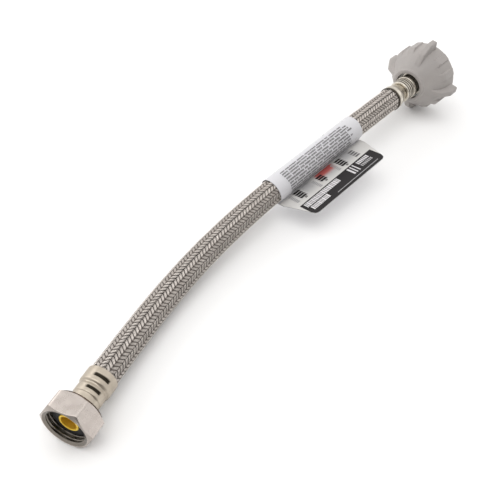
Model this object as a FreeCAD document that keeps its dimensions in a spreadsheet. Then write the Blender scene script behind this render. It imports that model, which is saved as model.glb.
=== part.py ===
import FreeCAD, Part
import math
import os
import Sketcher

# Braided stainless supply line for a toilet tank.
# Row frame: +X runs from the inlet nut to the tank nut, +Z is up, and Z = 0 is the surface it lies on.
# Each end fitting is drawn in its own frame: origin at the nut's mouth, +Z in along the axis towards
# the hose, +Y up. Stations are distances from the mouth. All lengths are in millimetres.

Vector = FreeCAD.Vector
FULL_TURN = 360.0

DIMENSIONS = {
    "axis_radius": 0.0,
    "zero_station": 0.0,
    "crimp_wall": 0.6,
    # Inlet nut: half-inch female pipe thread, 15/16 inch across its flats.
    "inlet_flats": 24.0,
    "inlet_nut_length": 11.6,
    "hex_corner_radius": 13.9,
    "inlet_front_face_radius": 11.6,
    "inlet_front_chamfer_depth": 1.4,
    "inlet_back_face_radius": 10.6,
    "inlet_back_chamfer_depth": 1.9,
    "inlet_mouth_radius": 10.5,
    "inlet_mouth_depth": 0.9,
    "inlet_thread_radius": 9.55,
    "inlet_thread_end": 3.1,
    "inlet_undercut_radius": 9.8,
    "inlet_seat_station": 9.5,
    "inlet_back_hole_radius": 7.2,
    # Inlet stem, washer and ferrule.
    "inlet_tip_station": 3.2,
    "inlet_tip_radius": 5.0,
    "inlet_tip_bore_radius": 4.0,
    "inlet_washer_station": 4.2,
    "inlet_washer_radius": 9.2,
    "inlet_flange_station": 6.7,
    "inlet_flange_thickness": 1.5,
    "inlet_flange_radius": 8.2,
    "inlet_neck_radius": 6.2,
    "inlet_barb_station": 22.4,
    "inlet_ferrule_station": 13.4,
    "inlet_ferrule_throat_radius": 6.7,
    "inlet_ferrule_ring_station": 16.5,
    "inlet_ferrule_ring_radius": 7.15,
    "inlet_ferrule_ring_groove_radius": 6.85,
    "inlet_ferrule_ring_groove_start": 18.9,
    "inlet_ferrule_ring_groove_end": 19.7,
    "inlet_ferrule_ring_end": 20.7,
    "inlet_ferrule_waist_radius": 6.8,
    "inlet_ferrule_skirt_station": 22.5,
    "inlet_ferrule_skirt_radius": 7.85,
    "inlet_ferrule_skirt_groove_radius": 7.5,
    "inlet_ferrule_skirt_groove_start": 25.4,
    "inlet_ferrule_skirt_groove_end": 26.4,
    "inlet_ferrule_end": 30.0,
    # Tank nut: seven-eighths inch fine thread, moulded bell with 4 wings and 12 low grip ribs.
    "tank_nut_length": 23.0,
    "tank_rim_radius": 19.6,
    "tank_bell_front_radius": 19.4,
    "tank_bell_front_station": 8.2,
    "tank_bell_middle_radius": 18.4,
    "tank_bell_middle_station": 12.5,
    "tank_bell_back_radius": 15.8,
    "tank_bell_back_station": 16.5,
    "tank_collar_radius": 11.0,
    "tank_collar_station": 21.6,
    "tank_bell_foot_radius": 12.6,
    "tank_bell_foot_station": 20.2,
    "tank_mouth_radius": 11.2,
    "tank_mouth_depth": 1.0,
    "tank_thread_radius": 10.2,
    "tank_thread_end": 10.0,
    "tank_undercut_radius": 10.5,
    "tank_seat_station": 20.0,
    "tank_back_hole_radius": 8.6,
    "tank_wing_radius": 24.435,
    "tank_wing_tip_station": 2.2,
    "tank_wing_crest_station": 9.0,
    "tank_wing_shoulder_radius": 20.5,
    "tank_wing_shoulder_station": 15.5,
    "tank_wing_foot_station": 19.6,
    "tank_wing_thickness": 3.6,
    "tank_wing_root_radius": 12.0,
    "tank_rib_radius": 20.6,
    "tank_rib_front_station": 1.0,
    "tank_rib_crest_station": 10.5,
    "tank_rib_foot_station": 18.4,
    "tank_rib_thickness": 4.4,
    "tank_relief_inner_radius": 13.6,
    "tank_relief_outer_radius": 17.8,
    "tank_relief_depth": 8.0,
    # Tank stem, washers and ferrule.
    "tank_nose_station": 11.5,
    "tank_nose_radius": 6.3,
    "tank_bore_radius": 4.2,
    "tank_flange_station": 17.1,
    "tank_flange_radius": 9.9,
    "tank_flange_end": 18.9,
    "tank_neck_radius": 6.5,
    "tank_collar_ring_station": 23.9,
    "tank_collar_ring_radius": 7.3,
    "tank_collar_ring_end": 25.9,
    "tank_body_station": 26.3,
    "tank_body_radius": 6.95,
    "tank_body_groove_radius": 6.45,
    "tank_body_groove_width": 0.7,
    "tank_first_groove": 27.3,
    "tank_second_groove": 29.0,
    "tank_third_groove": 30.7,
    "tank_body_end": 32.7,
    "tank_waist_radius": 4.9,
    "tank_barb_station": 39.1,
    "tank_cone_front_station": 10.5,
    "tank_cone_front_radius": 7.6,
    "tank_cone_shoulder_station": 15.5,
    "tank_cone_radius": 9.7,
    "friction_ring_station": 19.1,
    "friction_ring_thickness": 0.8,
    "friction_ring_inner_radius": 7.6,
    "friction_ring_outer_radius": 9.7,
    "tank_ferrule_station": 33.1,
    "tank_ferrule_throat_radius": 5.6,
    "tank_ferrule_taper_station": 33.9,
    "tank_ferrule_body_station": 39.0,
    "tank_ferrule_body_radius": 7.45,
    "tank_ferrule_lip_station": 41.9,
    "tank_ferrule_lip_groove_radius": 7.3,
    "tank_ferrule_lip_groove_end": 42.3,
    "tank_ferrule_lip_radius": 7.6,
    "tank_ferrule_end": 43.5,
    # Hose.
    "stem_barb_radius": 4.35,
    "stem_barb_pitch": 3.8,
    "stem_barb_root_radius": 3.95,
    "stem_barb_bore_radius": 3.3,
    "liner_inner_radius": 4.4,
    "yarn_inner_radius": 6.0,
    "braid_inner_radius": 6.3,
    "hose_radius": 7.1,
    "ferrule_bore_radius": 7.15,
    # Label: a sleeve round the hose whose two ends are stuck together as a flag.
    "label_inner_radius": 7.55,
    "label_outer_radius": 7.8,
    "label_length": 70.5,
    "label_flag_start": 5.0,
    "label_flag_length": 61.0,
    "label_flag_root": 1.5,
    "label_flag_reach": 28.0,
    "label_flag_thickness": 0.5,
}

BARB_COUNT = 3
WING_COUNT = 4
RIB_COUNT = 12
HEX_SIDES = 6

# The hose's weight draws the inlet fitting's back end down, so its mouth points a little upwards.
INLET_MOUTH = Vector(-160.61, 1.73, 12.8)
INLET_HEADING = 13.0
INLET_TILT = -4.4
TANK_MOUTH = Vector(161.52, -0.69, 24.5)
TANK_HEADING = 174.8
TANK_NUT_SPIN = -5.0

# The hose's route: its end inside the inlet ferrule, the corners between, its end inside the tank
# ferrule. The run from the fifth point to the sixth is the straight stretch that carries the label.
HOSE_ROUTE = [
    Vector(-138.17, 6.91, 11.03),
    Vector(-112.13, 12.92, 8.97),
    Vector(-77.5, 18.6, 9.0),
    Vector(-40.0, 20.9, 11.2),
    Vector(4.1, 17.9, 16.0),
    Vector(83.92, 6.37, 24.5),
    Vector(122.53, 2.86, 24.5),
]
LABEL_RUN = 4
LABEL_MARGIN = 6.5
LABEL_TILT = -10.0
TANGENT_SHARE = 0.45
MINIMUM_RADIUS = 71.0

doc = FreeCAD.newDocument("braided_supply_line")
sheet = doc.addObject("Spreadsheet::Sheet", "Dimensions")
for row_number, (alias, number) in enumerate(DIMENSIONS.items(), start=1):
    cell = "B" + str(row_number)
    sheet.set("A" + str(row_number), alias)
    sheet.set(cell, str(number))
    sheet.setAlias(cell, alias)
doc.recompute()


def amount(terms):
    """The sum of the named dimensions; a leading minus sign subtracts one."""
    names = [terms] if isinstance(terms, str) else terms
    total = 0.0
    for name in names:
        sign = -1.0 if name.startswith("-") else 1.0
        total += sign * DIMENSIONS[name.lstrip("-")]
    return total


def formula(terms):
    """The same sum as an expression on the spreadsheet's cells."""
    names = [terms] if isinstance(terms, str) else terms
    text = ""
    for name in names:
        sign = "-" if name.startswith("-") else "+"
        text += " " + sign + " Dimensions." + name.lstrip("-")
    return text.lstrip(" +")


def origin_feature(body, role):
    for feature in body.Origin.OriginFeatures:
        if feature.Role == role:
            return feature
    raise ValueError("no origin feature " + role)


def new_body(label):
    body = doc.addObject("PartDesign::Body", label)
    body.Label = label
    return body


def outline_sketch(body, name, corners):
    """A closed outline on the body's XZ plane: each corner is (distance from the axis, station)."""
    sketch = body.newObject("Sketcher::SketchObject", name)
    sketch.AttachmentSupport = (origin_feature(body, "XZ_Plane"), [""])
    sketch.MapMode = "FlatFace"
    places = [Vector(amount(radius), amount(station), 0) for radius, station in corners]
    for index, place in enumerate(places):
        following = places[(index + 1) % len(places)]
        sketch.addGeometry(Part.LineSegment(place, following), False)
    for index in range(len(places)):
        following = (index + 1) % len(places)
        sketch.addConstraint(Sketcher.Constraint("Coincident", index, 2, following, 1))
    for index, (radius, station) in enumerate(corners):
        across = sketch.addConstraint(
            Sketcher.Constraint("DistanceX", -1, 1, index, 1, amount(radius)))
        sketch.setExpression("Constraints[" + str(across) + "]", formula(radius))
        if amount(station) == 0.0:
            sketch.addConstraint(Sketcher.Constraint("PointOnObject", index, 1, -1))
            continue
        along = sketch.addConstraint(
            Sketcher.Constraint("DistanceY", -1, 1, index, 1, amount(station)))
        sketch.setExpression("Constraints[" + str(along) + "]", formula(station))
    return sketch


def revolve(body, kind, name, corners):
    """Turns the outline about the fitting's axis, as a Revolution or a Groove."""
    sketch = outline_sketch(body, name + "_outline", corners)
    feature = body.newObject("PartDesign::" + kind, name)
    feature.Profile = sketch
    feature.ReferenceAxis = (sketch, ["V_Axis"])
    feature.Angle = FULL_TURN
    body.Tip = feature
    doc.recompute()
    return feature


def polar_pattern(body, name, original, count):
    pattern = body.newObject("PartDesign::PolarPattern", name)
    pattern.Originals = [original]
    pattern.Axis = (origin_feature(body, "Z_Axis"), [""])
    pattern.Angle = FULL_TURN
    pattern.Occurrences = count
    body.Tip = pattern
    doc.recompute()
    return pattern


def fin(body, name, corners, thickness):
    """A flat fin on the XZ plane, padded to both sides of it."""
    sketch = outline_sketch(body, name + "_outline", corners)
    pad = body.newObject("PartDesign::Pad", name)
    pad.Profile = sketch
    pad.Midplane = True
    pad.setExpression("Length", formula(thickness))
    body.Tip = pad
    doc.recompute()
    return pad


def turned_piece(label, corners):
    body = new_body(label)
    revolve(body, "Revolution", label + "_turning", corners)
    return body


def fitting_axis(heading, tilt):
    angle, rise = math.radians(heading), math.radians(tilt)
    return Vector(math.cos(angle) * math.cos(rise), math.sin(angle) * math.cos(rise), math.sin(rise))


def fitting_placement(mouth, heading, tilt=0.0, spin=0.0):
    """Puts a piece's +Z along the heading and its +Y upwards, after a spin about its own axis."""
    axis = fitting_axis(heading, tilt)
    across = Vector(0, 0, 1).cross(axis).normalize()
    up = axis.cross(across)
    turn = FreeCAD.Rotation(across, up, axis, "ZYX")
    return FreeCAD.Placement(mouth, turn.multiply(FreeCAD.Rotation(Vector(0, 0, 1), spin)))


def barbed_tail(start):
    """Outline of a stem's barbed tail, from its shoulder to its free end, as sawtooth barbs."""
    corners = []
    for barb in range(BARB_COUNT):
        tooth_start = (start,) + ("stem_barb_pitch",) * barb
        tooth_end = tooth_start + ("stem_barb_pitch",)
        corners.append(("stem_barb_radius", tooth_start))
        corners.append(("stem_barb_root_radius", tooth_end))
    return corners


def stem(label, head, tail_start, bore):
    """A hollow stem: its turned head, its barbed tail, and the bore back to the tip."""
    tail_end = (tail_start,) + ("stem_barb_pitch",) * BARB_COUNT
    corners = head + barbed_tail(tail_start)
    corners.append(("stem_barb_bore_radius", tail_end))
    corners.append(("stem_barb_bore_radius", tail_start))
    corners.append((bore, tail_start))
    corners.append((bore, head[0][1]))
    return turned_piece(label, corners)


def inlet_nut():
    body = new_body("inlet_nut")
    hexagon = body.newObject("Sketcher::SketchObject", "inlet_hexagon")
    hexagon.AttachmentSupport = (origin_feature(body, "XY_Plane"), [""])
    hexagon.MapMode = "FlatFace"
    corner_radius = DIMENSIONS["inlet_flats"] / math.sqrt(3.0)
    corners = []
    for side in range(HEX_SIDES):
        angle = math.radians(side * FULL_TURN / HEX_SIDES)
        corners.append(Vector(corner_radius * math.cos(angle), corner_radius * math.sin(angle), 0))
    for side in range(HEX_SIDES):
        hexagon.addGeometry(Part.LineSegment(corners[side], corners[(side + 1) % HEX_SIDES]), False)
    for side in range(HEX_SIDES):
        following = (side + 1) % HEX_SIDES
        hexagon.addConstraint(Sketcher.Constraint("Coincident", side, 2, following, 1))
    circle = hexagon.addGeometry(Part.Circle(Vector(0, 0, 0), Vector(0, 0, 1), corner_radius), True)
    hexagon.addConstraint(Sketcher.Constraint("Coincident", circle, 3, -1, 1))
    for side in range(HEX_SIDES):
        hexagon.addConstraint(Sketcher.Constraint("PointOnObject", side, 1, circle))
    for side in range(1, HEX_SIDES):
        hexagon.addConstraint(Sketcher.Constraint("Equal", 0, side))
    hexagon.addConstraint(Sketcher.Constraint("PointOnObject", 0, 1, -1))
    size = hexagon.addConstraint(Sketcher.Constraint("Radius", circle, corner_radius))
    hexagon.setExpression("Constraints[" + str(size) + "]", "Dimensions.inlet_flats / sqrt(3)")
    blank = body.newObject("PartDesign::Pad", "inlet_hex_blank")
    blank.Profile = hexagon
    blank.setExpression("Length", "Dimensions.inlet_nut_length")
    body.Tip = blank
    doc.recompute()
    outside = ("inlet_flats",)
    revolve(body, "Groove", "inlet_front_chamfer", [
        ("inlet_front_face_radius", "zero_station"),
        (outside, "zero_station"),
        (outside, "inlet_front_chamfer_depth"),
        ("hex_corner_radius", "inlet_front_chamfer_depth"),
    ])
    revolve(body, "Groove", "inlet_back_chamfer", [
        ("inlet_back_face_radius", "inlet_nut_length"),
        ("hex_corner_radius", ("inlet_nut_length", "-inlet_back_chamfer_depth")),
        (outside, ("inlet_nut_length", "-inlet_back_chamfer_depth")),
        (outside, "inlet_nut_length"),
    ])
    revolve(body, "Groove", "inlet_bore", [
        ("axis_radius", "zero_station"),
        ("inlet_mouth_radius", "zero_station"),
        ("inlet_thread_radius", "inlet_mouth_depth"),
        ("inlet_thread_radius", "inlet_thread_end"),
        ("inlet_undercut_radius", "inlet_thread_end"),
        ("inlet_undercut_radius", "inlet_seat_station"),
        ("inlet_back_hole_radius", "inlet_seat_station"),
        ("inlet_back_hole_radius", "inlet_nut_length"),
        ("axis_radius", "inlet_nut_length"),
    ])
    return body


def tank_nut():
    body = new_body("tank_nut")
    revolve(body, "Revolution", "tank_bell", [
        ("tank_mouth_radius", "zero_station"),
        ("tank_rim_radius", "zero_station"),
        ("tank_bell_front_radius", "tank_bell_front_station"),
        ("tank_bell_middle_radius", "tank_bell_middle_station"),
        ("tank_bell_back_radius", "tank_bell_back_station"),
        ("tank_bell_foot_radius", "tank_bell_foot_station"),
        ("tank_collar_radius", "tank_collar_station"),
        ("tank_collar_radius", "tank_nut_length"),
        ("tank_back_hole_radius", "tank_nut_length"),
        ("tank_back_hole_radius", "tank_seat_station"),
        ("tank_undercut_radius", "tank_seat_station"),
        ("tank_undercut_radius", "tank_thread_end"),
        ("tank_thread_radius", "tank_thread_end"),
        ("tank_thread_radius", "tank_mouth_depth"),
    ])
    wing = fin(body, "tank_wing", [
        ("tank_wing_root_radius", "tank_wing_tip_station"),
        ("tank_wing_radius", "tank_wing_tip_station"),
        ("tank_wing_radius", "tank_wing_crest_station"),
        ("tank_wing_shoulder_radius", "tank_wing_shoulder_station"),
        ("tank_bell_foot_radius", "tank_wing_foot_station"),
        ("tank_wing_root_radius", "tank_wing_foot_station"),
    ], "tank_wing_thickness")
    polar_pattern(body, "tank_wings", wing, WING_COUNT)
    rib = fin(body, "tank_rib", [
        ("tank_wing_root_radius", "tank_rib_front_station"),
        ("tank_rib_radius", "tank_rib_front_station"),
        ("tank_rib_radius", "tank_rib_crest_station"),
        ("tank_bell_foot_radius", "tank_rib_foot_station"),
        ("tank_wing_root_radius", "tank_rib_foot_station"),
    ], "tank_rib_thickness")
    polar_pattern(body, "tank_ribs", rib, RIB_COUNT)
    revolve(body, "Groove", "tank_front_relief", [
        ("tank_relief_inner_radius", "zero_station"),
        ("tank_relief_outer_radius", "zero_station"),
        ("tank_relief_outer_radius", "tank_relief_depth"),
        ("tank_relief_inner_radius", "tank_relief_depth"),
    ])
    return body


def inlet_stem():
    head = [
        ("inlet_tip_radius", "inlet_tip_station"),
        ("inlet_tip_radius", "inlet_flange_station"),
        ("inlet_flange_radius", "inlet_flange_station"),
        ("inlet_flange_radius", ("inlet_flange_station", "inlet_flange_thickness")),
        ("inlet_neck_radius", ("inlet_flange_station", "inlet_flange_thickness")),
        ("inlet_neck_radius", "inlet_barb_station"),
    ]
    return stem("inlet_stem", head, "inlet_barb_station", "inlet_tip_bore_radius")


def inlet_washer():
    return turned_piece("inlet_washer", [
        ("inlet_tip_radius", "inlet_washer_station"),
        ("inlet_washer_radius", "inlet_washer_station"),
        ("inlet_washer_radius", "inlet_flange_station"),
        ("inlet_tip_radius", "inlet_flange_station"),
    ])


def inlet_ferrule():
    return turned_piece("inlet_ferrule", [
        ("inlet_neck_radius", "inlet_ferrule_station"),
        ("inlet_ferrule_throat_radius", "inlet_ferrule_station"),
        ("inlet_ferrule_throat_radius", "inlet_ferrule_ring_station"),
        ("inlet_ferrule_ring_radius", "inlet_ferrule_ring_station"),
        ("inlet_ferrule_ring_radius", "inlet_ferrule_ring_groove_start"),
        ("inlet_ferrule_ring_groove_radius", "inlet_ferrule_ring_groove_start"),
        ("inlet_ferrule_ring_groove_radius", "inlet_ferrule_ring_groove_end"),
        ("inlet_ferrule_ring_radius", "inlet_ferrule_ring_groove_end"),
        ("inlet_ferrule_ring_radius", "inlet_ferrule_ring_end"),
        ("inlet_ferrule_waist_radius", "inlet_ferrule_ring_end"),
        ("inlet_ferrule_waist_radius", "inlet_ferrule_skirt_station"),
        ("inlet_ferrule_skirt_radius", "inlet_ferrule_skirt_station"),
        ("inlet_ferrule_skirt_radius", "inlet_ferrule_skirt_groove_start"),
        ("inlet_ferrule_skirt_groove_radius", "inlet_ferrule_skirt_groove_start"),
        ("inlet_ferrule_skirt_groove_radius", "inlet_ferrule_skirt_groove_end"),
        ("inlet_ferrule_skirt_radius", "inlet_ferrule_skirt_groove_end"),
        ("inlet_ferrule_skirt_radius", "inlet_ferrule_end"),
        ("ferrule_bore_radius", "inlet_ferrule_end"),
        ("ferrule_bore_radius", ("inlet_ferrule_skirt_station", "crimp_wall")),
        ("inlet_neck_radius", ("inlet_ferrule_skirt_station", "crimp_wall")),
    ])


def tank_stem():
    head = [
        ("tank_nose_radius", "tank_nose_station"),
        ("tank_nose_radius", "tank_flange_station"),
        ("tank_flange_radius", "tank_flange_station"),
        ("tank_flange_radius", "tank_flange_end"),
        ("tank_neck_radius", "tank_flange_end"),
        ("tank_neck_radius", "tank_collar_ring_station"),
        ("tank_collar_ring_radius", "tank_collar_ring_station"),
        ("tank_collar_ring_radius", "tank_collar_ring_end"),
        ("tank_body_groove_radius", "tank_collar_ring_end"),
        ("tank_body_groove_radius", "tank_body_station"),
        ("tank_body_radius", "tank_body_station"),
    ]
    for groove in ("tank_first_groove", "tank_second_groove", "tank_third_groove"):
        groove_end = (groove, "tank_body_groove_width")
        head.append(("tank_body_radius", groove))
        head.append(("tank_body_groove_radius", groove))
        head.append(("tank_body_groove_radius", groove_end))
        head.append(("tank_body_radius", groove_end))
    head.append(("tank_body_radius", "tank_body_end"))
    head.append(("tank_waist_radius", "tank_body_end"))
    head.append(("tank_waist_radius", "tank_barb_station"))
    return stem("tank_stem", head, "tank_barb_station", "tank_bore_radius")


def tank_cone_washer():
    return turned_piece("tank_cone_washer", [
        ("tank_nose_radius", "tank_cone_front_station"),
        ("tank_cone_front_radius", "tank_cone_front_station"),
        ("tank_cone_radius", "tank_cone_shoulder_station"),
        ("tank_cone_radius", "tank_flange_station"),
        ("tank_nose_radius", "tank_flange_station"),
    ])


def tank_friction_ring():
    ring_end = ("friction_ring_station", "friction_ring_thickness")
    return turned_piece("tank_friction_ring", [
        ("friction_ring_inner_radius", "friction_ring_station"),
        ("friction_ring_outer_radius", "friction_ring_station"),
        ("friction_ring_outer_radius", ring_end),
        ("friction_ring_inner_radius", ring_end),
    ])


def tank_ferrule():
    return turned_piece("tank_ferrule", [
        ("tank_waist_radius", "tank_ferrule_station"),
        ("tank_ferrule_throat_radius", "tank_ferrule_station"),
        ("tank_ferrule_throat_radius", "tank_ferrule_taper_station"),
        ("tank_ferrule_body_radius", "tank_ferrule_body_station"),
        ("tank_ferrule_body_radius", "tank_ferrule_lip_station"),
        ("tank_ferrule_lip_groove_radius", "tank_ferrule_lip_station"),
        ("tank_ferrule_lip_groove_radius", "tank_ferrule_lip_groove_end"),
        ("tank_ferrule_lip_radius", "tank_ferrule_lip_groove_end"),
        ("tank_ferrule_lip_radius", "tank_ferrule_end"),
        ("ferrule_bore_radius", "tank_ferrule_end"),
        ("ferrule_bore_radius", "tank_barb_station"),
        ("tank_waist_radius", "tank_barb_station"),
    ])


def hose_path(corners):
    """Straight runs joined by tangent arcs, each as large as its two runs allow."""
    edges = []
    run_start = corners[0]
    for before, corner, after in zip(corners, corners[1:], corners[2:]):
        inward = (corner - before).normalize()
        outward = (after - corner).normalize()
        shorter = min((corner - before).Length, (after - corner).Length)
        tangent = TANGENT_SHARE * shorter
        half_turn = inward.getAngle(outward) / 2.0
        radius = tangent / math.tan(half_turn)
        print("hose corner radius", round(radius, 1), "turn", round(math.degrees(2.0 * half_turn), 1))
        if radius < MINIMUM_RADIUS:
            raise ValueError("the hose bends too tightly")
        arc_start = corner - inward * tangent
        arc_end = corner + outward * tangent
        towards_centre = (outward - inward).normalize()
        centre = corner + towards_centre * (radius / math.cos(half_turn))
        middle = centre - towards_centre * radius
        edges.append(Part.LineSegment(run_start, arc_start).toShape())
        edges.append(Part.Arc(arc_start, middle, arc_end).toShape())
        run_start = arc_end
    edges.append(Part.LineSegment(run_start, corners[-1]).toShape())
    return Part.Wire(edges)


def rod_along(path, corners, radius):
    direction = (corners[1] - corners[0]).normalize()
    section = Part.Wire([Part.makeCircle(radius, corners[0], direction)])
    return path.makePipeShell([section], True, False)


def hose_layer(label, path, corners, inner_alias, outer_alias):
    """One layer of the hose: a tube along the route, its volume checked against section times length."""
    inner = sheet.get(inner_alias)
    outer = sheet.get(outer_alias)
    shape = rod_along(path, corners, outer).cut(rod_along(path, corners, inner))
    expected = math.pi * (outer * outer - inner * inner) * path.Length
    print(label, "length", round(path.Length, 1), "volume ratio", round(shape.Volume / expected, 4))
    layer = doc.addObject("Part::Feature", label)
    layer.Label = label
    layer.Shape = shape
    layer.Placement = FreeCAD.Placement()
    return layer


def label_wrap(corners):
    """The label: a sleeve, and the flag where its ends are stuck together, its free edge raised."""
    outer = doc.addObject("Part::Cylinder", "label_outer")
    outer.setExpression("Radius", "Dimensions.label_outer_radius")
    outer.setExpression("Height", "Dimensions.label_length")
    flag = doc.addObject("Part::Box", "label_flag")
    flag.setExpression("Length", "Dimensions.label_flag_reach - Dimensions.label_flag_root")
    flag.setExpression("Width", "Dimensions.label_flag_thickness")
    flag.setExpression("Height", "Dimensions.label_flag_length")
    flag.setExpression("Placement.Base.x", "-Dimensions.label_flag_reach")
    flag.setExpression("Placement.Base.y", "-Dimensions.label_outer_radius")
    flag.setExpression("Placement.Base.z", "Dimensions.label_flag_start")
    sheet_stock = doc.addObject("Part::Fuse", "label_stock")
    sheet_stock.Base = outer
    sheet_stock.Tool = flag
    inner = doc.addObject("Part::Cylinder", "label_inner")
    inner.setExpression("Radius", "Dimensions.label_inner_radius")
    inner.setExpression("Height", "Dimensions.label_length")
    wrap = doc.addObject("Part::Cut", "label_wrap")
    wrap.Label = "label_wrap"
    wrap.Base = sheet_stock
    wrap.Tool = inner
    run_start = corners[LABEL_RUN]
    along = (corners[LABEL_RUN + 1] - run_start).normalize()
    across = Vector(0, 0, 1).cross(along).normalize()
    up = along.cross(across)
    level = FreeCAD.Rotation(across, up, along, "ZYX")
    wrap.Placement = FreeCAD.Placement(
        run_start + along * LABEL_MARGIN, level.multiply(FreeCAD.Rotation(Vector(0, 0, 1), LABEL_TILT)))
    return wrap


def place(piece, placement):
    piece.Placement = placement
    return piece


def check_document(pieces):
    doc.recompute()
    for entry in doc.Objects:
        if "Invalid" in entry.State or "Error" in entry.State:
            raise RuntimeError(entry.Name + " failed: " + str(entry.State))
    for piece in pieces:
        if piece.Shape.isNull() or not piece.Shape.isValid() or not piece.Shape.Solids:
            raise RuntimeError(piece.Label + " has no valid solid")


inlet_place = fitting_placement(INLET_MOUTH, INLET_HEADING, INLET_TILT)
tank_place = fitting_placement(TANK_MOUTH, TANK_HEADING)
tank_nut_place = fitting_placement(TANK_MOUTH, TANK_HEADING, spin=TANK_NUT_SPIN)
route_path = hose_path(HOSE_ROUTE)

parts = [
    place(inlet_nut(), inlet_place),
    place(inlet_stem(), inlet_place),
    place(inlet_washer(), inlet_place),
    place(inlet_ferrule(), inlet_place),
    place(tank_nut(), tank_nut_place),
    place(tank_stem(), tank_place),
    place(tank_cone_washer(), tank_place),
    place(tank_friction_ring(), tank_place),
    place(tank_ferrule(), tank_place),
    hose_layer("liner_tube", route_path, HOSE_ROUTE, "liner_inner_radius", "yarn_inner_radius"),
    hose_layer("yarn_layer", route_path, HOSE_ROUTE, "yarn_inner_radius", "braid_inner_radius"),
    hose_layer("braid_sleeve", route_path, HOSE_ROUTE, "braid_inner_radius", "hose_radius"),
    label_wrap(HOSE_ROUTE),
]
check_document(parts)

os.makedirs("parts", exist_ok=True)
for part in parts:
    box = part.Shape.BoundBox
    print(part.Label, len(part.Shape.Solids), round(part.Shape.Volume, 1),
          [round(limit, 2) for limit in (box.XMin, box.YMin, box.ZMin, box.XMax, box.YMax, box.ZMax)])
    part.Shape.exportStep("parts/" + part.Label + ".step")
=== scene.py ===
import math
import random

import bpy
from mathutils import Matrix, Vector


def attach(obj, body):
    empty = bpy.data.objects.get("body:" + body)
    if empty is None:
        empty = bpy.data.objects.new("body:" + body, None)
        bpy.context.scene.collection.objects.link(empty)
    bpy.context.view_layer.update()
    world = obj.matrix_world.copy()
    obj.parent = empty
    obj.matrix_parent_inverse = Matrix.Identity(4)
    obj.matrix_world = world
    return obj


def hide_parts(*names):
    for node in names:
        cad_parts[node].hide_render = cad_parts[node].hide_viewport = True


# Braided stainless supply line. Each fitting is built in its own frame, in millimetres: +Z runs in
# along the fitting's axis from the nut's mouth towards the hose, +Y is up and +X is across. A
# "station" is a distance from the mouth. The row frame is in metres.

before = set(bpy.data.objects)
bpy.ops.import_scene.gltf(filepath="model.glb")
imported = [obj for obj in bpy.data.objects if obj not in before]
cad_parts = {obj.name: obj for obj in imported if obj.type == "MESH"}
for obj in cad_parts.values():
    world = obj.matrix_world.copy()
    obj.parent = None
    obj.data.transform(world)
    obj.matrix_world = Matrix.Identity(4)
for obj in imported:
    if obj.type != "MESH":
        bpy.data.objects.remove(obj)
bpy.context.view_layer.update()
random.seed(12)

MM = 0.001
UP = Vector((0.0, 0.0, 1.0))
FULL_TURN = 2.0 * math.pi

INLET_MOUTH = Vector((-160.61, 1.73, 12.8))
INLET_HEADING = 13.0
INLET_TILT = -4.4
TANK_MOUTH = Vector((161.52, -0.69, 24.5))
TANK_HEADING = 174.8
TANK_NUT_SPIN = -5.0

# The hose's route, from its end inside the inlet ferrule to its end inside the tank ferrule.
ROUTE = [
    (-0.13817, 0.00691, 0.01103),
    (-0.11213, 0.01292, 0.00897),
    (-0.0775, 0.0186, 0.0090),
    (-0.0400, 0.0209, 0.0112),
    (0.0041, 0.0179, 0.0160),
    (0.0464, 0.01179, 0.0205),
    (0.08392, 0.00637, 0.0245),
    (0.12253, 0.00286, 0.0245),
]

LABEL_START = Vector((4.1, 17.9, 16.0))
LABEL_RUN_END = Vector((83.92, 6.37, 24.5))
LABEL_MARGIN = 6.5
LABEL_TILT = -10.0
LABEL_LENGTH = 70.5
LABEL_REACH = 28.0
FLAG_START = 5.0
FLAG_END = 66.0

CAMERA_PLACE = Vector((-229.78, -149.45, 280.1))
CAMERA_HEADING = 37.09
CAMERA_TILT = 46.85
CAMERA_LENS = 50.1

ROOM_STRENGTH = 0.98
ROOM_TONE = (1.0, 0.99, 0.98, 1.0)
ROOM_DARK_TONE = (0.12, 0.11, 0.10, 1.0)
CAMERA_SIDE = (-0.56, -0.81, -0.15)
FLOOR_HALF_SIZE = 4.0
FLOOR_TONE = (0.93, 0.93, 0.93, 1.0)


# ---------------------------------------------------------------- camera, light and floor

def point_at(direction):
    return direction.to_track_quat("-Z", "Y")


def make_camera():
    camera = bpy.data.objects.new("camera", bpy.data.cameras.new("camera"))
    heading = math.radians(CAMERA_HEADING)
    tilt = math.radians(CAMERA_TILT)
    looking = Vector((
        math.cos(heading) * math.cos(tilt), math.sin(heading) * math.cos(tilt), -math.sin(tilt)))
    camera.location = CAMERA_PLACE * MM
    camera.rotation_mode = "QUATERNION"
    camera.rotation_quaternion = point_at(looking)
    camera.data.lens = CAMERA_LENS
    camera.data.sensor_width = 36.0
    camera.data.clip_start = 0.01
    bpy.context.scene.collection.objects.link(camera)
    bpy.context.scene.camera = camera


def soft_light(name, place, size, watts, colour=(1.0, 1.0, 1.0)):
    data = bpy.data.lights.new(name, "AREA")
    data.shape = "RECTANGLE"
    data.size, data.size_y = size
    data.energy = watts
    data.color = colour
    lamp = bpy.data.objects.new(name, data)
    lamp.location = place
    lamp.rotation_mode = "QUATERNION"
    lamp.rotation_quaternion = point_at(-Vector(place))
    bpy.context.scene.collection.objects.link(lamp)


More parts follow.
